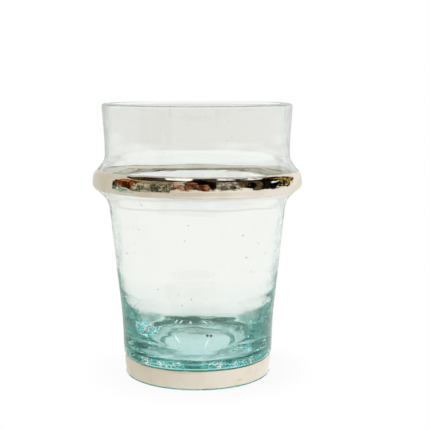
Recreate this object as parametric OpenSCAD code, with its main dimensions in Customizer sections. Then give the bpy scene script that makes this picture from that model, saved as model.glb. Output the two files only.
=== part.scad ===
// Hand-blown tea glass, in millimetres: a tapered body on a thick base, a bulge and a flared neck.
// It stands on the XY plane with +Z up its axis, so the origin is the centre of the foot.
// One silver band hugs the bulge and another hugs the foot.

/* [Heights] */
// Height of the waist, where the body meets the bulge
waist_h = 65; // [55:0.5:72]
// Height of the knee, where the body starts to widen
knee_h = 22; // [14:0.5:34]
// Height from the waist to the lower edge of the bulge
bulge_rise = 4.8; // [3.5:0.1:6]
// Height of the outward face of the bulge
bulge_face_h = 5.1; // [4.6:0.1:6.5]
// Height over which the bulge falls back to the neck
bulge_fall = 4.8; // [3.5:0.1:6]
// Height of the neck, from its root to the lip
neck_h = 20.3; // [14:0.1:30]

/* [Outer diameters] */
// Diameter of the glass at the rim
rim_d = 69.6; // [66:0.2:74]
// Diameter of the neck at its narrowest ring
neck_d = 67.7; // [64:0.1:70]
// Widest diameter of the glass bulge
bulge_d = 76.9; // [73:0.1:80]
// Diameter of the shoulder on top of the bulge
bulge_top_d = 75.5; // [72.5:0.1:76.8]
// Diameter of the body at the waist
waist_d = 65.3; // [62:0.1:68]
// Diameter of the body at the knee
knee_d = 56.5; // [55.8:0.1:60]
// Diameter of the glass foot inside its band
foot_d = 54.3; // [50:0.1:55]

/* [Roundings] */
// Radius of the polished lip
lip_round = 1.05; // [0.4:0.05:1.05]
// Radius of the hollow at the waist
waist_round = 8; // [3:0.5:9]
// Radius of the bulge on the outside
bulge_round = 3; // [1.5:0.1:3.6]
// Radius of the bulge on the inside
bulge_inner_round = 2; // [0.8:0.1:2.6]
// Radius of the hollow at the root of the neck
neck_round = 4.5; // [2:0.1:6]
// Radius of the long curve at the knee
knee_round = 150; // [60:10:200]
// Radius of the long curve at the neck's narrowest ring
neck_curve = 40; // [20:5:100]

/* [Walls] */
// Wall of the body above the thick base
body_wall = 1.9; // [1.4:0.1:2.6]
// Wall of the bulge
bulge_wall = 2.2; // [1.6:0.1:2.8]
// Wall of the neck
neck_wall = 2.1; // [1.6:0.1:2.8]
// Wall just below the lip
rim_wall = 2.2; // [2.1:0.05:2.8]

/* [Thick base] */
// Height of the floor of the cup above the table
floor_h = 8.6; // [6:0.1:10]
// Diameter at which the floor starts to rise into the wall
floor_d = 37.5; // [30:0.5:40]
// Radius of the bowl between floor and wall
floor_round = 12.5; // [5:0.5:13]
// Height at which the bowl has become wall
bowl_h = 15; // [14:0.5:22]
// Inner diameter at that height
bowl_d = 45.2; // [44:0.2:49]
// Radius of the inner curve at that height
bowl_round = 38; // [10:1:50]
// Height above which the wall is as thin as the body
thin_h = 30; // [27:0.5:50]
// Radius of the inner curve where the wall turns thin
thin_round = 140; // [40:5:160]

/* [Underside] */
// Depth of the hollow under the base at its centre
punt_depth = 2.4; // [1:0.1:3.5]
// Depth of that hollow at its rim
punt_rim_depth = 2.1; // [0.8:0.1:3.2]
// Diameter of the top of the hollow
punt_top_d = 27.4; // [18:0.2:29]
// Diameter of the hollow on the table plane
punt_d = 34; // [31:0.5:40]
// Radius where the top of the hollow turns down
punt_round = 2; // [1:0.1:4]

/* [Silver bands] */
// Thickness of the silver
band_t = 0.3; // [0.2:0.05:0.5]
// Height of the collar band's lower edge above the waist
collar_lift = 3.9; // [3:0.1:4.5]
// Height of the collar band
collar_h = 7.3; // [5:0.1:7.5]
// Height of the foot band
foot_band_h = 6.7; // [4:0.1:9]
// Height of bare glass heel below the foot band, and its rounding
heel_h = 0.5; // [0.4:0.05:1]
// How far the glass swells out above the foot band
shoulder_step = 0.55; // [0.4:0.05:0.7]
// Height over which it swells
shoulder_h = 1; // [0.6:0.1:2]
// Radius of that swelling
shoulder_round = 1.2; // [0.5:0.1:2]

/* [Hidden] */
// Flats round the axis in the preview
turn_flats = 180;
// Largest turn between two straights of a rounded corner, in degrees
arc_step = 5;
// Fewest straights in a rounded corner
arc_least = 3;
// Turn below which a corner counts as straight, in degrees
straight_turn = 0.01;
// Share of a straight that the rounding at one of its ends may use
room_share = 0.49;
// Share of the neck's height at which it is narrowest
throat_share = 0.31;
glass_tint = [0.72, 0.9, 0.88, 0.6];
silver_tint = [0.87, 0.84, 0.79];

foot_band_top = heel_h + foot_band_h;
collar_low = waist_h + collar_lift;
collar_top = collar_low + collar_h;
bulge_low = waist_h + bulge_rise;
bulge_top = bulge_low + bulge_face_h;
neck_root = bulge_top + bulge_fall;
glass_h = neck_root + neck_h;

// Each corner of the outline is [radius from the axis, height, rounding].
heel = [foot_d / 2, 0, heel_h];
band_edge = [foot_d / 2, foot_band_top, 0];
shoulder = [foot_d / 2 + shoulder_step, foot_band_top + shoulder_h, shoulder_round];
knee = [knee_d / 2, knee_h, knee_round];
waist = [waist_d / 2, waist_h, waist_round];
bulge_under = [bulge_d / 2, bulge_low, bulge_round];
bulge_over = [bulge_top_d / 2, bulge_top, bulge_round];
root = [neck_d / 2, neck_root, neck_round];
throat = [neck_d / 2, neck_root + neck_h * throat_share, neck_curve];
lip = [rim_d / 2, glass_h, lip_round];

outside = [heel, band_edge, shoulder, knee, waist, bulge_under, bulge_over, root, throat, lip];
underside = [
    [0, punt_depth, 0],
    [punt_top_d / 2, punt_rim_depth, punt_round],
    [punt_d / 2, 0, 0]
];
skin = rounded(outside);
inside = [
    [rim_d / 2 - rim_wall, glass_h, lip_round],
    lined(root, throat, lip, neck_wall, neck_curve + neck_wall),
    lined(bulge_over, root, throat, neck_wall, neck_round + neck_wall),
    lined(bulge_under, bulge_over, root, bulge_wall, bulge_inner_round),
    lined(waist, bulge_under, bulge_over, bulge_wall, bulge_inner_round),
    lined(knee, waist, bulge_under, body_wall, waist_round + body_wall),
    [radius_at(skin, thin_h) - body_wall, thin_h, thin_round],
    [bowl_d / 2, bowl_h, bowl_round],
    [floor_d / 2, floor_h, floor_round],
    [0, floor_h, 0]
];

// Step from one point of an outline to another, leaving any rounding aside
function step(a, b) = [b[0] - a[0], b[1] - a[1]];

// Direction of that step
function heading(a, b) = step(a, b) / norm(step(a, b));

// Angle that an outline turns through at b, in degrees
function turn_at(a, b, c) = acos(max(-1, min(1, heading(a, b) * heading(b, c))));

// Points of the arc that rounds corner b, which lies between a and c
function corner_arc(a, b, c) =
    let (
        turn = turn_at(a, b, c),
        side = sign(cross(heading(a, b), heading(b, c))),
        room = room_share * min(norm(step(a, b)), norm(step(b, c))),
        reach = min(b[2] * tan(turn / 2), room),
        radius = reach / tan(turn / 2),
        start = step([0, 0], b) - heading(a, b) * reach,
        centre = start + side * radius * [-heading(a, b)[1], heading(a, b)[0]],
        first = atan2(start[1] - centre[1], start[0] - centre[0]),
        straights = max(arc_least, ceil(turn / arc_step))
    )
    [for (i = [0 : straights])
        let (angle = first + side * turn * i / straights)
        centre + radius * [cos(angle), sin(angle)]];

// Outline through a list of corners, each rounded unless it ends the list, is sharp or is straight
function rounded(corners) =
    [for (i = [0 : len(corners) - 1])
        let (
            ends = i == 0 || i == len(corners) - 1,
            a = corners[i - 1],
            b = corners[i],
            c = corners[i + 1]
        )
        each ends || b[2] == 0 || turn_at(a, b, c) < straight_turn
            ? [step([0, 0], b)]
            : corner_arc(a, b, c)];

// Point b of an upward path moved outwards, so that both straights that meet there move by the distance
function moved(a, b, c, distance) =
    let (middle = (heading(a, b) + heading(b, c)) / norm(heading(a, b) + heading(b, c)))
    step([0, 0], b) + distance / (middle * heading(a, b)) * [middle[1], -middle[0]];

// Corner of the inner face that keeps a wall behind corner b of the outer face
function lined(a, b, c, wall, rounding) = concat(moved(a, b, c, -wall), rounding);

// Whole upward path moved outwards, with its two ends moved square to it
function grown(path, distance) =
    let (last = len(path) - 1)
    [for (i = [0 : last])
        i == 0 ? moved(path[0] - step(path[0], path[1]), path[0], path[1], distance)
        : i == last ? moved(path[i - 1], path[i], path[i] + step(path[i - 1], path[i]), distance)
        : moved(path[i - 1], path[i], path[i + 1], distance)];

// Radius of an upward path at a height
function radius_at(path, h) = lookup(h, [for (p = path) [p[1], p[0]]]);

// Stretch of an upward path between two heights
function between(path, low, high) = concat(
    [[radius_at(path, low), low]],
    [for (p = path) if (p[1] > low && p[1] < high) p],
    [[radius_at(path, high), high]]
);

function backwards(path) = [for (i = [len(path) - 1 : -1 : 0]) path[i]];

// Ring of silver that hugs the outer face of the glass between two heights
module band(low, high) {
    seat = between(skin, low, high);
    rotate_extrude($fn = turn_flats)
        polygon(concat(grown(seat, band_t), backwards(seat)));
}

module glass_vessel() {
    color(glass_tint)
        rotate_extrude($fn = turn_flats)
            polygon(rounded(concat(underside, outside, inside)));
}

module collar_band() {
    color(silver_tint)
        band(collar_low, collar_top);
}

module foot_band() {
    color(silver_tint)
        band(heel_h, foot_band_top);
}

glass_vessel();
collar_band();
foot_band();
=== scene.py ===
import math
import random

import bmesh
import bpy
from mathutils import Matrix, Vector, kdtree, noise


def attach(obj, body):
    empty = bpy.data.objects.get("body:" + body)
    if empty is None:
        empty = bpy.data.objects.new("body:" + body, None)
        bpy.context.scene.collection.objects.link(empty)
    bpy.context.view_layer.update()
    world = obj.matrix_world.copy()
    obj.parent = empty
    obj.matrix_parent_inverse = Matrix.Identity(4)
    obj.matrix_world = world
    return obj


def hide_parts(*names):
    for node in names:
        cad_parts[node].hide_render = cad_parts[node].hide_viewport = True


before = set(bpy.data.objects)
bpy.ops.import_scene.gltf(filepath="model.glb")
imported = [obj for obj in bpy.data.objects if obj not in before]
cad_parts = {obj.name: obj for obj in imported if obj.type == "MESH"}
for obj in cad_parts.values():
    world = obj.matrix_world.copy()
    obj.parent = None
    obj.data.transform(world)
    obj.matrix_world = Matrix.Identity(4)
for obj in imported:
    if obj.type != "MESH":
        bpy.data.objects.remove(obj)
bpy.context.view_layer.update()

mm = 0.001
fullTurn = 2 * math.pi
around = 224                                # steps round the axis in every turned piece

print("frame loaded:", sorted(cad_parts))


# Helpers for turned shapes. Outlines are lists of (radius, height) vectors in millimetres.

def smoothStep(low, high, value):
    share = min(1, max(0, (value - low) / (high - low)))
    return share * share * (3 - 2 * share)


# 1 between the two middle values of four, falling to 0 at the outer two
def within(limits, value):
    return smoothStep(limits[0], limits[1], value) * smoothStep(limits[3], limits[2], value)


def ringSpot(radius, angle, height):
    return Vector((radius * math.cos(angle), radius * math.sin(angle), height))


# Noise that closes on itself round the axis
def ringNoise(angle, turns, level):
    return noise.noise(ringSpot(turns, angle, level))


# The outline of a turned CAD node, from the underside's centre round to the floor of the cup
def turnedOutline(nodeName, sameRing=0.012, axisFirst=100):
    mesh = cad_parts[nodeName].data
    flat = [Vector((math.hypot(v.co.x, v.co.y), v.co.z, 0)) / mm for v in mesh.vertices]
    tree = kdtree.KDTree(len(flat))
    for index, spot in enumerate(flat):
        tree.insert(spot, index)
    tree.balance()
    ringOf = [None] * len(flat)
    rings = []
    for index, spot in enumerate(flat):
        if ringOf[index] is None:
            for _, other, _ in tree.find_range(spot, sameRing):
                ringOf[other] = len(rings)
            rings.append(Vector((spot.x, spot.y)))
    neighbours = [set() for _ in rings]
    for edge in mesh.edges:
        a, b = (ringOf[v] for v in edge.vertices)
        if a != b:
            neighbours[a].add(b)
            neighbours[b].add(a)
    walk = [min(range(len(rings)), key=lambda r: rings[r].x * axisFirst + rings[r].y)]
    while True:
        onward = [r for r in neighbours[walk[-1]] if r not in walk]
        if not onward:
            break
        walk.append(onward[0])
    return [rings[r] for r in walk]


# Fills in an outline so that its points lie close together and its arcs are round again
def refined(points, spacingAt, sharpTurn=math.radians(12)):
    steps = [b - a for a, b in zip(points, points[1:])]
    made = []
    for index, step in enumerate(steps):
        before = steps[index - 1] if index > 0 else step
        after = steps[index + 1] if index + 1 < len(steps) else step
        slopes = []
        for other in (before, after):
            bends = step.angle(other, 0) > sharpTurn
            slopes.append((step if bends else step + other).normalized() * step.length)
        count = max(1, round(step.length / spacingAt(points[index].y)))
        for i in range(count):
            t = i / count
            made.append(points[index] * (2 * t**3 - 3 * t**2 + 1) + slopes[0] * (t**3 - 2 * t**2 + t)
                        + points[index + 1] * (3 * t**2 - 2 * t**3) + slopes[1] * (t**3 - t**2))
    return made + [points[-1]]


# Unit vectors square to an outline, on its right-hand side as it is walked
def outwardSides(points):
    sides = []
    for index in range(len(points)):
        along = points[min(index + 1, len(points) - 1)] - points[max(index - 1, 0)]
        sides.append(Vector((along.y, -along.x)).normalized())
    return sides


# A smooth mesh piece made from rings of points
def ringPiece(name, rings, closedLoop, caps=(None, None), extra=None):
    mesh = bmesh.new()
    verts = [[mesh.verts.new(p * mm) for p in ring] for ring in rings]
    pairs = list(zip(verts, verts[1:] + verts[:1])) if closedLoop else list(zip(verts, verts[1:]))
    for lower, upper in pairs:
        for i in range(around):
            j = (i + 1) % around
            mesh.faces.new((lower[i], lower[j], upper[j], upper[i]))
    for ring, centre, flip in ((verts[0], caps[0], True), (verts[-1], caps[1], False)):
        if centre is not None:
            middle = mesh.verts.new(centre * mm)
            for i in range(around):
                j = (i + 1) % around
                mesh.faces.new((middle, ring[j], ring[i]) if flip else (middle, ring[i], ring[j]))
    if extra:
        extra(mesh)
    for face in mesh.faces:
        face.smooth = True
    data = bpy.data.meshes.new(name)
    mesh.to_mesh(data)
    mesh.free()
    piece = bpy.data.objects.new(name, data)
    bpy.context.scene.collection.objects.link(piece)
    return piece


# Shader helpers

class Wire:
    # One shader socket that can stand in a sum
    def __init__(self, paint, socket):
        self.paint = paint
        self.socket = socket

    def maths(self, operation, *values):
        return self.paint.node("ShaderNodeMath", {"operation": operation}, dict(enumerate(values)))

    def __add__(self, other):
        return self.maths("ADD", self, other)

    __radd__ = __add__

    def __sub__(self, other):
        return self.maths("SUBTRACT", self, other)

    def __rsub__(self, other):
        return self.maths("SUBTRACT", other, self)

    def __mul__(self, other):
        return self.maths("MULTIPLY", self, other)

    __rmul__ = __mul__

    def __truediv__(self, other):
        return self.maths("DIVIDE", self, other)

    def __pow__(self, other):
        return self.maths("POWER", self, other)

    def __abs__(self):
        return self.maths("ABSOLUTE", self)

    def atMost(self, other):
        return self.maths("MINIMUM", self, other)

    def atLeast(self, other):
        return self.maths("MAXIMUM", self, other)


class Paint:
    # The node tree of one material or of the world
    def __init__(self, owner):
        self.owner = owner
        owner.use_nodes = True
        self.tree = owner.node_tree
        self.tree.nodes.clear()

    def node(self, kind, settings=None, sockets=None, output=0):
        made = self.tree.nodes.new(kind)
        for key, value in (settings or {}).items():
            if key == "stops":
                ramp = made.color_ramp
                while len(ramp.elements) < len(value):
                    ramp.elements.new(0.5)
                for element, (place, colour) in zip(ramp.elements, value):
                    element.position = place
                    element.color = (*colour, 1)
            else:
                setattr(made, key, value)
        for key, value in (sockets or {}).items():
            if isinstance(value, Wire):
                self.tree.links.new(value.socket, made.inputs[key])
            else:
                socket = made.inputs[key]
                short = hasattr(socket.default_value, "__len__") and len(socket.default_value) > len(value)
                socket.default_value = (*value, 1) if short else value
        return Wire(self, made.outputs[output])

    def place(self):
        return self.node("ShaderNodeTexCoord", output="Object")

    def part(self, vector, axis):
        return self.node("ShaderNodeSeparateXYZ", sockets={0: vector}, output=axis)

    def height(self, place):
        return self.part(place, "Z") / mm

    def vectors(self, operation, *values, output=0):
        return self.node("ShaderNodeVectorMath", {"operation": operation}, dict(enumerate(values)), output)

    def length(self, vector):
        return self.vectors("LENGTH", vector, output="Value")

    def scaled(self, vector, factors):
        return self.vectors("MULTIPLY", vector, factors)

    # Noise of a size in millimetres
    def cloud(self, place, size, detail=2, roughness=0.5, output=0):
        sockets = {"Vector": place, "Scale": 1 / (size * mm), "Detail": detail, "Roughness": roughness}
        return self.node("ShaderNodeTexNoise", sockets=sockets, output=output)

    # Distance to the edges of cells of a size in millimetres
    def cells(self, place, size):
        sockets = {"Vector": place, "Scale": 1 / (size * mm)}
        return self.node("ShaderNodeTexVoronoi", {"feature": "DISTANCE_TO_EDGE"}, sockets)

    # 1 inside an ellipsoid with its middle and reach in millimetres, fading to 0 at its skin
    def near(self, place, middle, reach, axis="Z", turn=0):
        offset = self.vectors("SUBTRACT", place, Vector(middle) * mm)
        if turn:
            settings = {"rotation_type": axis + "_AXIS"}
            sockets = {"Vector": offset, "Angle": math.radians(turn)}
            offset = self.node("ShaderNodeVectorRotate", settings, sockets)
        offset = self.scaled(offset, [1 / (r * mm) for r in reach])
        return self.remap(self.length(offset), 1, 0.5)

    def remap(self, value, low, high, toLow=0, toHigh=1):
        sockets = {0: value, 1: low, 2: high, 3: toLow, 4: toHigh}
        return self.node("ShaderNodeMapRange", {"interpolation_type": "SMOOTHSTEP"}, sockets)

    # 1 between the two middle values of four, falling to 0 at the outer two
    def within(self, limits, value):
        return self.remap(value, limits[0], limits[1]) * self.remap(value, limits[3], limits[2])

    def blend(self, factor, first, second):
        sockets = {0: factor, 6: first, 7: second}
        return self.node("ShaderNodeMix", {"data_type": "RGBA"}, sockets, output=2)

    # Masks for rays from the camera, rays mirrored by a surface and rays that came through glass
    def seenRays(self):
        names = ("Is Camera Ray", "Is Glossy Ray", "Is Transmission Ray")
        direct, glossy, through = (self.node("ShaderNodeLightPath", output=name) for name in names)
        return direct, glossy * (1 - through), through

    def mixShaders(self, factor, first, second):
        return self.node("ShaderNodeMixShader", sockets={0: factor, 1: first, 2: second})

    def finish(self, surface, volume=None):
        forWorld = isinstance(self.owner, bpy.types.World)
        kind = "ShaderNodeOutputWorld" if forWorld else "ShaderNodeOutputMaterial"
        sockets = {"Surface": surface}
        if volume:
            sockets["Volume"] = volume
        made = self.tree.nodes.new(kind)
        for key, wire in sockets.items():
            self.tree.links.new(wire.socket, made.inputs[key])
        return self.owner


def newMaterial(name):
    return Paint(bpy.data.materials.new(name))


def dress(piece, node, material):
    piece.data.materials.append(material)
    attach(piece, "root")
    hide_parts(node)


# The glass vessel

vessel = {
    "spacing": 0.8,               # between points of the outline
    "baseSpacing": 0.42,          # the same in the base, where the waves are finer
    "baseHeight": 34,
    "heelBeyond": 10,             # the heel is the first place beyond this radius
    "heelLean": 0.5,              # whose outward lean is at least this
    "broadWave": 0.09,            # hand-blown waves
    "broadLength": 14,
    "ripple": 0.018,              # fine ripples that run round the body
    "rippleTurns": 2.2,
    "rippleLength": 2.6,
    "insideShift": 300,           # lets the waves inside differ from those outside
    "baseWave": 0.05,             # waves on the floor and in the bowl
    "baseLength": 5,
    "fineShare": 0.3,             # finer waves among them
    "fineLength": 2,
    "bowlHeights": (36, 14),      # they start at the first height and are full at the second
    "floorRadii": (11, 18),       # between these radii they grow outwards from this share
    "floorShare": 0.35,
    "bulgeFill": 0.28,            # how much thicker the blown bulge is inside
    "bulgeHeights": (64, 70, 75, 78),
    "rootThinning": 0.1,          # how much thinner the neck's root is
    "rootHeights": (70, 75, 78, 81.5),
    "creases": 0.012,             # radial creases under the base
    "creaseTurns": 6,
    "creaseLength": 9,
    "creaseRadii": (1, 6),        # they start between these radii
    "underWave": 0.0125,          # waves under the base
    "underLength": 4,
    "underHeights": (0.02, 0.6),  # nothing under the base strays below the first height
    "ridges": 0.03,               # level tool marks on the lower body
    "ridgeTurns": 3,
    "ridgeLength": 1.3,
    "ridgeHeights": (7, 9, 20, 40),
    "combing": 0.03,              # fine slanting ripples on the lower body
    "combTurns": 5,
    "combLength": 1.5,
    "combSlant": 2,
    "combHeights": (8, 10, 24, 46),
    "footTaper": 0.45,            # how far the foot draws in towards the table
    "taperFrom": 6,
    "stillHeight": 1,             # the outside strays fully above this height
    "crown": 0.15,                # how much rounder the blown bulge is than the turned one
    "crownLeast": 0.05,
    "crownMiddle": 72.6,
    "crownReach": 3.7,
    "crownHeights": (65, 69, 76, 80),
    "lipStill": (0.2, 2),         # depths below the lip between which the waves start
    "lipSway": 0.12,              # how far the lip dips
    "lipTurns": 0.9,
    "lipLevel": 6.3,
    "lipHeights": (90, 100),
    "seeds": 120,                 # small bubbles in the wall
    "seedDraw": 11,
    "seedHeights": (14, 97),
    "seedDepths": (0.35, 0.65),   # share of the wall behind a bubble
    "seedSizes": (0.08, 0.27),    # radii
    "seedShares": (0.6, 1),
    "seedStretch": 1.6,           # bubbles in the wall are drawn out sideways
    "baseSeeds": 40,              # small bubbles in the thick base
    "baseSeedReach": 25,
    "baseSeedHeights": (3.6, 6.8),
    "baseSeedStretch": 1.2,
    "specks": ((3.75, -25.9, 19.8), (4.95, -25.7, 19.7)),    # two dark specks in the thick wall
    "speckSize": 0.48,
    "speckColour": (0.01, 0.16, 0.12),
}

cadOutline = turnedOutline("glass_vessel")
floorHeight = cadOutline[-1].y
glassHeight = max(p.y for p in cadOutline)
outline = refined(
    cadOutline, lambda height: vessel["baseSpacing" if height < vessel["baseHeight"] else "spacing"])
sides = outwardSides(outline)
topIndex = max(range(len(outline)), key=lambda i: outline[i].y)
heelIndex = next(
    i for i, p in enumerate(outline) if p.x > vessel["heelBeyond"] and sides[i].x > vessel["heelLean"])
print("outline points:", len(outline), "top", topIndex, "heel", heelIndex, "floor", floorHeight)


def insideStray(spot, here, shift):
    low = smoothStep(*vessel["bowlHeights"], spot.y)
    low *= vessel["floorShare"] + (1 - vessel["floorShare"]) * smoothStep(*vessel["floorRadii"], spot.x)
    waves = noise.noise(here / vessel["baseLength"] + shift)
    waves += vessel["fineShare"] * noise.noise(here / vessel["fineLength"] + shift)
    amount = vessel["baseWave"] * low * waves
    amount += vessel["bulgeFill"] * within(vessel["bulgeHeights"], spot.y)
    return amount - vessel["rootThinning"] * within(vessel["rootHeights"], spot.y)


def undersideStray(spot, here, angle):
    radial = ringNoise(angle, vessel["creaseTurns"], spot.x / vessel["creaseLength"])
    creasedGlints = vessel["creases"] * radial * smoothStep(*vessel["creaseRadii"], spot.x)
    return creasedGlints + vessel["underWave"] * noise.noise(here / vessel["underLength"])


def outsideStray(spot, angle):
    ridge = ringNoise(angle, vessel["ridgeTurns"], spot.y / vessel["ridgeLength"])
    slant = vessel["combSlant"] * math.cos(angle)
    combed = ringNoise(angle, vessel["combTurns"], spot.y / vessel["combLength"] + slant)
    fall = vessel["crown"] * min(1, ((spot.y - vessel["crownMiddle"]) / vessel["crownReach"]) ** 2)
    amount = vessel["ridges"] * ridge * within(vessel["ridgeHeights"], spot.y)
    amount += vessel["combing"] * combed * within(vessel["combHeights"], spot.y)
    amount -= vessel["footTaper"] * smoothStep(vessel["taperFrom"], 0, spot.y)
    return amount - (vessel["crownLeast"] + fall) * within(vessel["crownHeights"], spot.y)


# How far the blown surface strays from the turned one at a point of the outline, in millimetres
def stray(index, angle):
    spot = outline[index]
    here = ringSpot(spot.x, angle, spot.y)
    level = vessel["insideShift"] if index > topIndex else 0
    shift = Vector((0, 0, level))
    amount = vessel["broadWave"] * noise.noise(here / vessel["broadLength"] + shift)
    rippled = ringNoise(angle, vessel["rippleTurns"], spot.y / vessel["rippleLength"] + level)
    amount += vessel["ripple"] * rippled
    if index > topIndex:
        amount += insideStray(spot, here, shift)
    elif index < heelIndex:
        amount += undersideStray(spot, here, angle)
        amount *= smoothStep(*vessel["underHeights"], spot.y)
    else:
        amount += outsideStray(spot, angle)
        amount *= smoothStep(0, vessel["stillHeight"], spot.y)
    return amount * smoothStep(*vessel["lipStill"], glassHeight - spot.y)


angles = [fullTurn * i / around for i in range(around)]
turns = [ringSpot(1, angle, 0) for angle in angles]
strays = [[stray(index, angle) for angle in angles] for index in range(len(outline))]
dips = [0.5 + 0.5 * ringNoise(angle, vessel["lipTurns"], vessel["lipLevel"]) for angle in angles]


# A point of the blown surface, in millimetres
def skinPoint(index, i, lift=0):
    reach = strays[index][i] + lift
    radius = outline[index].x + sides[index].x * reach
    height = outline[index].y + sides[index].y * reach
    height -= vessel["lipSway"] * dips[i] * smoothStep(*vessel["lipHeights"], height)
    return Vector((radius * turns[i].x, radius * turns[i].y, height))


def radiusAt(height, inner):
    span = range(topIndex, len(outline)) if inner else range(heelIndex, topIndex + 1)
    return outline[min(span, key=lambda i: abs(outline[i].y - height))].x


# Small bubbles: closed cavities in the glass, whose faces look into the bubble
def addSeeds(mesh):
    draw = random.Random(vessel["seedDraw"])
    bubbles = []
    for _ in range(vessel["seeds"]):
        height = draw.uniform(*vessel["seedHeights"])
        angle = draw.uniform(0, fullTurn)
        between = draw.uniform(*vessel["seedDepths"])
        radius = radiusAt(height, True) * between + radiusAt(height, False) * (1 - between)
        size = draw.uniform(*vessel["seedSizes"]) * draw.uniform(*vessel["seedShares"])
        bubbles.append((ringSpot(radius, angle, height), size, vessel["seedStretch"]))
    for _ in range(vessel["baseSeeds"]):
        angle = draw.uniform(0, fullTurn)
        radius = vessel["baseSeedReach"] * math.sqrt(draw.random())
        height = draw.uniform(*vessel["baseSeedHeights"])
        size = draw.uniform(*vessel["seedSizes"])
        bubbles.append((ringSpot(radius, angle, height), size, vessel["baseSeedStretch"]))
    for centre, size, stretch in bubbles:
        made = bmesh.ops.create_icosphere(mesh, subdivisions=2, radius=size * mm)["verts"]
        outwards = Vector((centre.x, centre.y, 0)).normalized()
        sideways = Vector((-outwards.y, outwards.x, 0))
        for vert in made:
            vert.co += sideways * vert.co.dot(sideways) * (stretch - 1) + centre * mm
        bmesh.ops.reverse_faces(mesh, faces=list({face for vert in made for face in vert.link_faces}))
    for spot in vessel["specks"]:
        made = bmesh.ops.create_icosphere(mesh, subdivisions=2, radius=vessel["speckSize"] * mm)["verts"]
        for vert in made:
            vert.co += Vector(spot) * mm
            for face in vert.link_faces:
                face.material_index = 1


# Painted glints: a net of fine creases that scatter light, drawn as bright white and cyan patches that stand
# for sparkles of refracted light, above the foot band and in a few places on the body
def scuffGlintMask(paint, place, look):
    shift = paint.scaled(paint.cloud(place, look["shakeSize"], output="Color"), [look["netShake"] * mm] * 3)
    shaken = paint.vectors("ADD", place, shift)
    where = paint.within(look["aboveBand"], paint.height(place))
    where = where * paint.remap(paint.cloud(place, *look["bandCloud"]), *look["bandEdge"])
    where = where * (1 - paint.near(place, *look["plainFront"]))
    across = paint.length(paint.scaled(place, (1, 1, 0))) / mm
    where = where * paint.remap(across, *look["outerSkin"])
    clumps = paint.remap(paint.cloud(place, *look["clumpCloud"]), *look["clumpEdge"])
    for middle, reach in look["creasedGlints"]:
        where = where.atLeast(paint.near(place, middle, reach) * clumps)
    net = paint.cells(paint.scaled(shaken, (1, 1, look["netFlatness"])), look["netSize"])
    return paint.remap(net, *look["netLine"], look["netHaze"], 1) * where


# Scratches painted as white highlights of the light they catch
def scratchGlintMask(paint, place, look):
    first, *others = look["glintingScratches"]
    mask = paint.near(place, *first)
    for scratch in others:
        mask = mask.atLeast(paint.near(place, *scratch))
    return mask


# The painted glints' shader: bright white and cyan, where scuffed glass catches the light
def scuffGlintShader(paint, place, look, scratchGlints):
    bluer = paint.remap(paint.cloud(place, *look["blueCloud"]), *look["blueEdge"]) * (1 - scratchGlints)
    colour = paint.blend(bluer, look["scuffGlintWhite"], look["scuffGlintCyan"])
    sockets = {"Base Color": colour, "Roughness": look["scuffRough"]}
    return paint.node("ShaderNodeBsdfPrincipled", sockets=sockets)


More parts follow.
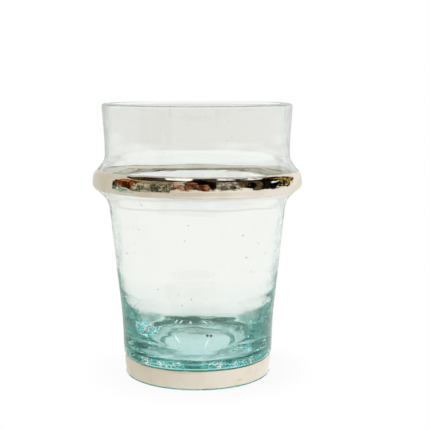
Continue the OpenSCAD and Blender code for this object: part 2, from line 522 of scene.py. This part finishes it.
# Each cloud is given by its size in millimetres, its detail and its roughness
def blownGlassMaterial():
    look = {
        "refraction": 1.5,
        "clear": (1, 0.975, 0.965),   # makes up for the tint of thin walls
        "aqua": (0.72, 0.89, 0.865),
        "aquaHeights": (8, 13),       # all aqua below the first, clear above the second
        "drift": 4,                   # how far clouds shift these heights
        "driftSize": 9,
        "absorbed": (0.25, 0.875, 0.855),
        "density": 20,
        "lipShadeHeights": (99.1, 99.3, 99.5, 99.7),    # heights of a painted shade line under the lip, standing for the dark line that the rounded lip refracts
        "lipFront": (-4, -16),        # it fades in over this stretch of Y, towards the front
        "lipShade": (0.4, 0.43, 0.42),
        "haze": 0.035,
        "hazeCloud": (4, 4),
        "hazeEdge": (0.45, 0.8),
        "bump": 0.25,
        "wave": 0.02,
        "waveSize": 3,
        "waveFlatness": 2.5,
        "glow": (0.22, 0.70, 0.62),   # light caught inside the thick walls
        "glowShare": 0.2,
        "glowHeights": (70, 40),
        "glowCloud": (6, 4, 0.65),
        "glowFlatness": 4,
        "glowLevels": (0.38, 0.62, 0.15, 1.8),
        "paleGlow": (0.95, 0.97, 0.97),         # the same in the thin neck
        "paleShare": 0.5,
        "paleHeights": (60, 74),
        "aboveBand": (7.4, 7.9, 9.8, 11),       # heights of the painted glints where creases catch the light, above the foot band
        "bandCloud": (10, 1),
        "bandEdge": (0.4, 0.5),
        "plainFront": ((-1, -27.5, 9), (3.5, 4, 5)),
        "outerSkin": (25.8, 26.8),    # beyond these radii lies only the outer skin
        # patches of painted glints where creases catch the light: middle and reach of each
        "creasedGlints": (((-17.8, -21.5, 21.3), (7, 7, 4)), ((18, -21, 14), (2.5, 2.5, 2.2))),
        "clumpCloud": (3, 2),
        "clumpEdge": (0.38, 0.5),
        "netSize": 1.7,
        "netLine": (0.1, 0.04),
        "netFlatness": 2.6,
        "netShake": 1.6,
        "shakeSize": 2.5,
        "netHaze": 0.1,
        "glintingScratches": (                # scratches painted as white highlights; middle, reach, axis and turn of each
            ((-7.0, -28, 25.1), (0.27, 1.5, 1.2), "Y", -40),
            ((-5.3, -28, 25.1), (0.27, 1.5, 1.2), "Y", -40),
            ((-2.2, -28, 25.0), (0.25, 1.5, 0.8), "Y", -14),
            ((-1.7, -28, 24.9), (0.22, 1.5, 0.7), "Y", 20),
            ((3.1, -28, 25.0), (0.27, 1.5, 1.4), "Y", 58),
            ((-6.7, -28, 18.8), (0.4, 3, 2.8), "Y", 32),
            ((3.6, -28, 17.5), (0.3, 3, 2.8), "Y", -28)),
        "scuffGlintWhite": (0.95, 1, 1),
        "scuffGlintCyan": (0.16, 0.76, 0.78),
        "scuffRough": 0.8,
        "blueCloud": (2.5, 1),
        "blueEdge": (0.4, 0.55),
    }
    paint = newMaterial("blownGlass")
    place = paint.place()
    height = paint.height(place)
    drift = (paint.cloud(place, look["driftSize"]) - 0.5) * look["drift"]
    aqua = paint.remap(height + drift, *look["aquaHeights"], 1, 0)
    colour = paint.blend(aqua, look["clear"], look["aqua"])
    # Painted shade: a grey line under the lip, on the front side only
    lipFront = paint.remap(paint.part(place, "Y") / mm, *look["lipFront"])
    colour = paint.blend(paint.within(look["lipShadeHeights"], height) * lipFront, colour, look["lipShade"])
    haze = paint.remap(paint.cloud(place, *look["hazeCloud"]), *look["hazeEdge"], 0, look["haze"])
    waves = paint.cloud(paint.scaled(place, (1, 1, look["waveFlatness"])), look["waveSize"])
    bump = paint.node("ShaderNodeBump", sockets={
        "Strength": look["bump"], "Distance": look["wave"] * mm, "Height": waves})
    surface = paint.node("ShaderNodeBsdfPrincipled", sockets={
        "Base Color": colour, "Roughness": haze, "IOR": look["refraction"], "Transmission Weight": 1,
        "Normal": bump})
    caught = paint.node("ShaderNodeFresnel", sockets={"IOR": look["refraction"], "Normal": bump}) ** 2
    level = paint.cloud(paint.scaled(place, (1, 1, look["glowFlatness"])), *look["glowCloud"])
    low = paint.remap(height, *look["glowHeights"]) * paint.remap(level, *look["glowLevels"])
    glow = paint.node("ShaderNodeBsdfTranslucent", sockets={"Color": look["glow"]})
    surface = paint.mixShaders(caught * low * look["glowShare"], surface, glow)
    high = paint.remap(height, *look["paleHeights"])
    pale = paint.node("ShaderNodeBsdfTranslucent", sockets={"Color": look["paleGlow"]})
    surface = paint.mixShaders(caught * high * look["paleShare"], surface, pale)
    scratchGlints = scratchGlintMask(paint, place, look)
    outside = 1 - paint.node("ShaderNodeNewGeometry", output="Backfacing")
    # Painted glints: scuffs and scratches are drawn as bright patches of the light they catch
    scuffsAndGlints = scuffGlintMask(paint, place, look).atLeast(scratchGlints) * outside
    surface = paint.mixShaders(scuffsAndGlints, surface, scuffGlintShader(paint, place, look, scratchGlints))
    sockets = {"Color": look["absorbed"], "Density": look["density"]}
    return paint.finish(surface, paint.node("ShaderNodeVolumeAbsorption", sockets=sockets))


def speckMaterial():
    paint = newMaterial("darkSpeck")
    return paint.finish(paint.node("ShaderNodeBsdfPrincipled", sockets={
        "Base Color": vessel["speckColour"], "Roughness": 0.3}))


vesselRings = [[skinPoint(index, i) for i in range(around)] for index in range(1, len(outline) - 1)]
vesselPiece = ringPiece(
    "blownVessel", vesselRings, False,
    (Vector((0, 0, outline[0].y)), Vector((0, 0, floorHeight))), addSeeds)
dress(vesselPiece, "glass_vessel", blownGlassMaterial())
vesselPiece.data.materials.append(speckMaterial())
print("vessel built")


# The silver bands

bands = {
    "stand": 0.02,                # hair gap between silver and glass
    "thickness": 0.24,
    "edgeThickness": 0.05,
    "across": 26,                 # steps from edge to edge
    "collarLow": 68.9,
    "collarDip": 1.2,             # how much lower the painted edge runs at the back
    "dipSines": (0, 0.6),         # sines of the angle at which the dip starts and is full
    "collarHigh": 75.7,
    "collarTilt": 0.45,           # the painted lower edge climbs to one side
    "collarLean": 0.75,           # the painted upper edge climbs to the front
    "collarSway": 0.3,
    "collarWobble": 0.16,
    "collarHighTurns": 5,
    "footLow": 0.55,
    "footHigh": 7.1,
    "footWobble": 0.07,
    "wanderTurns": 3,
    "fineWander": 0.5,            # a finer wandering on top of the broad one
    "fineTurns": 3.1,
}
skinSpan = range(heelIndex, topIndex + 1)


# The place on the skin, as a broken index, at a height
def skinIndex(height):
    upper = next(i for i in skinSpan if outline[i].y >= height)
    low, high = outline[upper - 1].y, outline[upper].y
    return upper - 1 + (height - low) / (high - low)


def skinBetween(place, i, lift):
    index = int(place)
    share = place - index
    return skinPoint(index, i, lift).lerp(skinPoint(index + 1, i, lift), share)


# A thin closed ring of silver whose edges wander as painted ones do
def bandPiece(name, lowEdge, highEdge):
    steps = bands["across"]
    columns = []
    for i, angle in enumerate(angles):
        low, high = skinIndex(lowEdge(angle)), skinIndex(highEdge(angle))
        outer, inner = [], []
        for k in range(steps + 1):
            place = low + (high - low) * k / steps
            crown = 1 - (2 * k / steps - 1) ** 2
            full = bands["edgeThickness"] + (bands["thickness"] - bands["edgeThickness"]) * crown
            outer.append(skinBetween(place, i, bands["stand"] + full))
            inner.append(skinBetween(place, i, bands["stand"]))
        columns.append(outer + inner[::-1])
    rings = [[columns[i][k] for i in range(around)] for k in range(len(columns[0]))]
    return ringPiece(name, rings, True)


# Wandering between about -1 and 1 that closes on itself round the axis
def wander(angle, seed, turns=bands["wanderTurns"]):
    fine = bands["fineTurns"]
    return ringNoise(angle, turns, seed) + bands["fineWander"] * ringNoise(angle, turns * fine, seed * fine)


def collarLow(angle):
    dip = bands["collarDip"] * smoothStep(*bands["dipSines"], math.sin(angle))
    sway = bands["collarTilt"] * math.cos(angle) - bands["collarWobble"] * wander(angle, seed=2)
    return bands["collarLow"] - dip - sway


def collarHigh(angle):
    lean = bands["collarLean"] * math.sin(angle) + bands["collarSway"] * math.cos(angle)
    wobble = bands["collarWobble"] * wander(angle, seed=5, turns=bands["collarHighTurns"])
    return bands["collarHigh"] - lean + wobble


def footLow(angle):
    return bands["footLow"] + 0.5 * bands["footWobble"] * (1 + wander(angle, seed=9))


def footHigh(angle):
    return bands["footHigh"] + bands["footWobble"] * wander(angle, seed=13)


def silverMaterial():
    look = {
        "bright": (0.83, 0.78, 0.68),
        "warm": (0.78, 0.72, 0.61),
        "patchCloud": (6, 3),         # bright and warm patches
        "patchEdge": (0.4, 0.75),
        "worn": (0.55, 0.48, 0.38),
        "wornCloud": (0.8, 2, 0.7),
        "wornEdge": (0.68, 0.78),
        "wornShare": 0.7,
        "wornRough": 0.2,
        "stain": ((15.4, -22.7, 2.6), (1.4, 2, 0.4)),       # small mark on the foot band
        "stained": (0.66, 0.52, 0.22),
        "stainShare": 0.6,
        "polish": 0.025,
        "smudge": 0.1,
        "brushedCloud": (2.4, 3),     # level strokes of the brush
        "brushedFlatness": 7,
        "brushedShare": 0.12,
        "waveCloud": (3, 1),
        "waveFlatness": 1.5,
        "wave": 0.13,
        "bump": 0.5,
    }
    paint = newMaterial("firedSilver")
    place = paint.place()
    patches = paint.remap(paint.cloud(place, *look["patchCloud"]), *look["patchEdge"])
    colour = paint.blend(patches, look["bright"], look["warm"])
    worn = paint.remap(paint.cloud(place, *look["wornCloud"]), *look["wornEdge"])
    colour = paint.blend(worn * look["wornShare"], colour, look["worn"])
    stain = paint.near(place, *look["stain"]) * look["stainShare"]
    colour = paint.blend(stain, colour, look["stained"])
    brushed = paint.cloud(paint.scaled(place, (1, 1, look["brushedFlatness"])), *look["brushedCloud"])
    rough = look["polish"] + patches * look["smudge"] * brushed + worn * look["wornRough"]
    waves = paint.cloud(paint.scaled(place, (1, 1, look["waveFlatness"])), *look["waveCloud"])
    bump = paint.node("ShaderNodeBump", sockets={
        "Strength": look["bump"], "Distance": look["wave"] * mm,
        "Height": waves + brushed * look["brushedShare"]})
    surface = paint.node("ShaderNodeBsdfPrincipled", sockets={
        "Base Color": colour, "Metallic": 1, "Roughness": rough, "Normal": bump})
    return paint.finish(surface)


silver = silverMaterial()
collarPiece = bandPiece("silverCollar", collarLow, collarHigh)
dress(collarPiece, "collar_band", silver)
footPiece = bandPiece("silverFoot", footLow, footHigh)
dress(footPiece, "foot_band", silver)
print("bands built")


# The studio: floor, cards, world, lamp and camera

studio = {
    "floorSize": 3,                       # radius, in metres
    "floorGap": 0.1,                      # below the foot, in millimetres
    "floorColour": (0.86, 0.86, 0.85),
    "shadowRing": (30, 48),               # the foot's shadow fades out between these distances
    "plainShare": 0.88,                   # share of plain white in it
    "leftTone": (0.70, 0.68, 0.61),       # the table and backdrop as the silver shows them
    "rightTone": (0.97, 0.96, 0.94),
    "tableRing": (50, 120),               # the table's tone turns and shifts between these distances
    "tableTurn": (0.5, 0.8),
    "tableShift": (0.62, 0.12),
    "sheenSides": (-0.8, 0.8),
    "wallTone": (0.815, 0.805, 0.785),    # the backdrop as the glass shows it
    "wallFrom": (900, 1600),              # the floor takes its tone between these distances
    "skyTone": (0.97, 0.97, 0.96),        # the same above it
    "skyFrom": (-0.02, 0.02),
    "shadeReach": 100,                    # distance that 1 stands for in the next list
    "shadeStops": (                       # painted shade and light of the floor round and under the foot, as the glass shows it
        (0, (0.80, 0.86, 0.86)), (0.165, (0.84, 0.90, 0.89)), (0.20, (0.6, 0.74, 0.70)),
        (0.23, (0.34, 0.56, 0.50)), (0.29, (0.2, 0.42, 0.36)), (0.33, (0.42, 0.56, 0.52)),
        (0.38, (0.82, 0.85, 0.83)), (0.6, (0.96, 0.98, 0.96))),
    "sideShade": 7,                       # how much farther the foot shades the floor on both sides
    "sidesFrom": (17, 26),
    "frontTone": (0.86, 0.92, 0.91),      # the floor under the foot's front side, painted lighter as if lit from the front
    "frontFrom": (-2, -12),
    "frontLight": 0.6,
    "glintCloud": (2.6, 3, 0.65),         # painted glints of light in that shade
    "glintEdge": (0.56, 0.66),
    "glintRing": (14, 18, 24, 28),
    "glintShare": 0.85,
    "streakCloud": (5, 2),                # darker streaks in it
    "streakLevels": (0.35, 0.65, 0.65, 1),
    "streakRing": (14, 18, 28, 32),
    "ambient": 0.9,
    "lampPlace": (-0.5, -0.3, 0.9),       # metres
    "lampSize": 0.5,
    "lampPower": 2.2,
}


def stagedPiece(name, mesh, material, hiddenFrom=()):
    data = bpy.data.meshes.new(name)
    mesh.to_mesh(data)
    mesh.free()
    piece = bpy.data.objects.new(name, data)
    bpy.context.scene.collection.objects.link(piece)
    piece.data.materials.append(material)
    for kind in hiddenFrom:
        setattr(piece, "visible_" + kind, False)
    return piece


# White to the camera, with a soft shadow, and shaded under the foot for rays that come through the glass
def floorMaterial():
    paint = newMaterial("paleFloor")
    place = paint.place()
    direct, mirrored, through = paint.seenRays()
    distance = paint.length(place) / mm
    sideways = paint.part(place, "X") / mm
    forwards = paint.part(place, "Y") / mm
    shaded = distance - paint.remap(abs(sideways), *studio["sidesFrom"]) * studio["sideShade"]
    shaded = shaded / studio["shadeReach"]
    # Painted shade and light: floor tones by distance from the axis, for rays through the glass
    shade = paint.node("ShaderNodeValToRGB", {"stops": studio["shadeStops"]}, {0: shaded})
    # Painted light: the floor under the foot's front side is lighter
    lightSide = paint.remap(forwards, *studio["frontFrom"]) * studio["frontLight"]
    shade = paint.blend(lightSide, shade, studio["frontTone"])
    # Painted glints: bright caustic spots in the shade under the foot
    glints = paint.remap(paint.cloud(place, *studio["glintCloud"]), *studio["glintEdge"])
    glints = glints * paint.within(studio["glintRing"], distance) * studio["glintShare"]
    shade = paint.blend(glints, shade, (1, 1, 1))
    streaks = paint.remap(paint.cloud(place, *studio["streakCloud"]), *studio["streakLevels"])
    streaky = paint.within(studio["streakRing"], distance)
    shade = paint.blend(streaky, shade, paint.blend(streaks, (0, 0, 0), shade))
    shade = paint.blend(paint.remap(distance, *studio["wallFrom"]), shade, studio["wallTone"])
    seen = paint.blend(through, (1, 1, 1), shade)
    turned = sideways / (distance + 1) * paint.remap(distance, *studio["tableRing"], *studio["tableTurn"])
    rightward = turned + paint.remap(distance, *studio["tableRing"], *studio["tableShift"])
    table = paint.blend(paint.remap(rightward, 0, 1), studio["leftTone"], studio["rightTone"])
    lit = paint.node("ShaderNodeEmission", sockets={"Color": paint.blend(mirrored, seen, table)})
    matt = paint.node("ShaderNodeBsdfDiffuse", sockets={"Color": studio["floorColour"]})
    plain = direct * paint.remap(distance, *studio["shadowRing"], studio["plainShare"], 1)
    return paint.finish(paint.mixShaders(plain.atLeast(mirrored).atLeast(through), matt, lit))


def addFloor():
    mesh = bmesh.new()
    bmesh.ops.create_circle(mesh, cap_ends=True, segments=96, radius=studio["floorSize"])
    floor = stagedPiece("floor", mesh, floorMaterial())
    floor.location.z = -studio["floorGap"] * mm


# Cards that only the silver and the glass show, seen from the middle of the collar
cards = {
    "distance": 0.9,                      # metres
    "layerGap": 0.002,                    # between a card and the next one in the list, in metres
    "middle": 72,                         # height of the collar, in millimetres
    "columnWidth": 2,                     # degrees between points of a card's mesh
    "rowHeight": 3,
    "highest": 89.5,
    "edge": 2.5,                          # degrees by which edges wander
    "edgeWidth": 7,                       # degrees over which they do
    "edgeHeight": 9,
    "edgeShift": 50,                      # lets rise and turn wander apart
    "glassShowsFrom": 8,                  # the glass shows only cards that stand higher than this
    "fleckCloud": (80, 4, 0.7),           # size in millimetres, detail and roughness
    "fleckEdge": (0.48, 0.53),
    "fleckRise": 0.35,                    # flecks of tall cards are drawn out upwards
    "lowFleckRise": 1.6,                  # flecks of low cards are flat
    "lowBelow": 17,
    "cracks": 110,                        # size of the cells that dark cracks part, in millimetres
    "crackWidth": 0.05,
    "crackTone": 0.15,                    # share of the card's colour that is left in a crack
    "plainFrom": 1,                       # cards at least this bright have no cracks
}
# Reach in degrees round from the camera, reach in degrees above the table, colour, colour of the flecks
# and, where a card stands nearer than the others, its distance
cardList = {
    "topCard": ((-118, 118), (46, 89), (0.030, 0.022, 0.015), (0.11, 0.09, 0.06)),
    "leftShade": ((-99, -30), (-4, 50), (0.060, 0.045, 0.025), (0.30, 0.26, 0.18)),
    "middleShade": ((-30, 62), (8, 50), (0.030, 0.022, 0.012), (0.12, 0.09, 0.05)),
    "rightShade": ((60, 127), (2, 50), (0.010, 0.008, 0.005), (0.12, 0.09, 0.04)),
    "sageCard": ((-67, -26), (-8, 12), (0.055, 0.060, 0.035), (0.62, 0.58, 0.43), 0.3),
    "rustCard": ((-100, -67), (4, 50), (0.050, 0.010, 0.004), (0.36, 0.095, 0.025)),
    "amberCard": ((-97, -78), (20, 28), (0.45, 0.18, 0.04), (0.90, 0.52, 0.18)),
    "sootCard": ((-88, -30), (41, 58), (0.004, 0.002, 0.001), (0.05, 0.02, 0.010)),
    "tanRail": ((-98, -28), (34, 41), (0.50, 0.38, 0.18), (0.72, 0.60, 0.38)),
    "darkRail": ((-76, -28), (24, 34), (0.010, 0.004, 0.002), (0.20, 0.11, 0.04)),
    "tanShelf": ((-66, -44), (23, 29), (0.45, 0.32, 0.14), (0.70, 0.56, 0.32)),
    "tanStep": ((-46, -28), (16, 22), (0.45, 0.32, 0.14), (0.70, 0.56, 0.32)),
    "umberCard": ((-112, -27), (58, 66), (0.008, 0.004, 0.003), (0.05, 0.02, 0.010)),
    "mossCard": ((-80, -58), (-22, 3), (0.10, 0.24, 0.16), (0.72, 0.86, 0.78), 0.12),
    "leftWhite": ((-84, -18), (70, 87), (1.4, 1.4, 1.4), (1.1, 1.1, 1.1)),
    "greyCard": ((-28, -12), (10, 60), (0.20, 0.18, 0.16), (0.72, 0.70, 0.66)),
    "brickCard": ((-26, 20), (8, 15), (0.09, 0.022, 0.006), (0.60, 0.25, 0.11)),
    "emberCard": ((-13, 3), (20, 38), (0.06, 0.015, 0.005), (0.50, 0.17, 0.07)),
    "blackCard": ((-12, 20), (44, 82), (0.001, 0.001, 0.001), (0.002, 0.002, 0.002)),
    "blackSlope": ((2, 21), (16, 50), (0.001, 0.001, 0.001), (0.003, 0.002, 0.002)),
    "blackTail": ((12, 23), (9, 20), (0.001, 0.001, 0.001), (0.006, 0.004, 0.003)),
    "stoneCard": ((23, 47), (11, 40), (0.14, 0.13, 0.09), (0.66, 0.64, 0.54)),
    "goldCard": ((47, 55), (10, 17), (0.12, 0.065, 0.015), (0.55, 0.38, 0.15)),
    "coalCard": ((55, 68), (6, 16), (0.001, 0.001, 0.001), (0.003, 0.003, 0.002)),
    "nightCard": ((40, 84), (42, 62), (0.006, 0.006, 0.005), (0.02, 0.018, 0.015)),
    "rightWhite": ((52, 82), (64, 75), (1.3, 1.3, 1.3), (0.9, 0.9, 0.9)),
    "rightSky": ((78, 108), (46, 60), (1.3, 1.3, 1.28), (0.85, 0.85, 0.83)),
    "inkCard": ((74, 110), (2, 42), (0.002, 0.002, 0.002), (0.010, 0.008, 0.006)),
    "glintCard": ((85, 97), (9, 13), (1.3, 1.35, 1.45), (0.03, 0.03, 0.03)),
    "brassCard": ((100, 129), (2, 34), (0.006, 0.004, 0.002), (0.55, 0.38, 0.10)),
}


def cardMaterial(name, nearness, low, colour, flecks):
    paint = newMaterial(name)
    rise = cards["lowFleckRise"] if low else cards["fleckRise"]
    place = paint.scaled(paint.place(), (nearness, nearness, nearness * rise))
    mask = paint.remap(paint.cloud(place, *cards["fleckCloud"]), *cards["fleckEdge"])
    tone = paint.blend(mask, colour, flecks)
    if max(colour) < cards["plainFrom"]:
        whole = paint.remap(paint.cells(place, cards["cracks"]), 0, cards["crackWidth"])
        tone = paint.blend(whole, [c * cards["crackTone"] for c in colour], tone)
    return paint.finish(paint.node("ShaderNodeEmission", sockets={"Color": tone}))


def addCard(name, order, reach, rise, colour, flecks, distance=cards["distance"]):
    across = max(4, round((reach[1] - reach[0]) / cards["columnWidth"]))
    upwards = max(3, round((rise[1] - rise[0]) / cards["rowHeight"]))
    nearness = cards["distance"] / distance
    distance -= cards["layerGap"] * order
    middle = Vector((0, 0, cards["middle"])) * mm
    shift = Vector((cards["edgeShift"], 0, 0))
    mesh = bmesh.new()
    grid = []
    for j in range(upwards + 1):
        row = []
        for i in range(across + 1):
            turn = reach[0] + (reach[1] - reach[0]) * i / across
            lift = rise[0] + (rise[1] - rise[0]) * j / upwards
            spot = Vector((turn / cards["edgeWidth"], lift / cards["edgeHeight"], order))
            turn += cards["edge"] * noise.noise(spot)
            lift += cards["edge"] * noise.noise(spot + shift)
            angle, slope = math.radians(turn - 90), math.radians(min(cards["highest"], lift))
            way = ringSpot(math.cos(slope), angle, math.sin(slope))
            row.append(mesh.verts.new(way * distance + middle))
        grid.append(row)
    for lower, upper in zip(grid, grid[1:]):
        for i in range(across):
            mesh.faces.new((lower[i], lower[i + 1], upper[i + 1], upper[i]))
    hidden = ["camera", "diffuse", "shadow"]
    if rise[0] < cards["glassShowsFrom"]:
        hidden.append("transmission")
    material = cardMaterial(name, nearness, rise[1] < cards["lowBelow"], colour, flecks)
    stagedPiece(name, mesh, material, hidden)


def lightTheWorld():
    world = bpy.data.worlds.new("studioWorld")
    bpy.context.scene.world = world
    paint = Paint(world)
    direct, mirrored, through = paint.seenRays()
    way = paint.node("ShaderNodeTexCoord", output="Generated")
    rightward = paint.remap(paint.part(way, "X"), *studio["sheenSides"])
    upward = paint.remap(paint.part(way, "Z"), *studio["skyFrom"])
    backdrop = paint.blend(upward, studio["wallTone"], studio["skyTone"])
    sheen = paint.blend(rightward, studio["leftTone"], studio["rightTone"])
    tone = paint.blend(mirrored, paint.blend(through, (1, 1, 1), backdrop), sheen)
    ambient = paint.node("ShaderNodeBackground", sockets={"Color": (1, 1, 1), "Strength": studio["ambient"]})
    shown = paint.node("ShaderNodeBackground", sockets={"Color": tone, "Strength": 1})
    paint.finish(paint.mixShaders((direct + through + mirrored).atMost(1), ambient, shown))


def addLamp():
    lamp = bpy.data.lights.new("keyLamp", "AREA")
    lamp.shape = "DISK"
    lamp.size = studio["lampSize"]
    lamp.energy = studio["lampPower"]
    holder = bpy.data.objects.new("keyLamp", lamp)
    holder.location = studio["lampPlace"]
    holder.rotation_euler = (-Vector(studio["lampPlace"])).to_track_quat("-Z", "Y").to_euler()
    bpy.context.scene.collection.objects.link(holder)


addFloor()
for order, (name, choices) in enumerate(cardList.items()):
    addCard(name, order, *choices)
lightTheWorld()
addLamp()
print("studio set")

view = {
    "imageSide": 430,             # pixels
    "focalPixels": 955,
    "axisPixel": 197.4,           # column of the glass's axis
    "pitch": 7.91,                # degrees below the horizon
    "distance": 351,              # from the axis, in millimetres
    "height": 107.4,
    "sensor": 36,
}
camera = bpy.data.objects.new("camera", bpy.data.cameras.new("camera"))
camera.data.sensor_width = view["sensor"]
camera.data.lens = view["focalPixels"] / view["imageSide"] * view["sensor"]
camera.data.clip_start = 0.01
aside = (view["imageSide"] / 2 - view["axisPixel"]) / view["focalPixels"] * view["distance"]
camera.location = Vector((aside, -view["distance"], view["height"])) * mm
camera.rotation_euler = (math.radians(90 - view["pitch"]), 0, 0)
bpy.context.scene.collection.objects.link(camera)
bpy.context.scene.camera = camera
bpy.context.scene.view_settings.view_transform = "Standard"

print("scene ready")
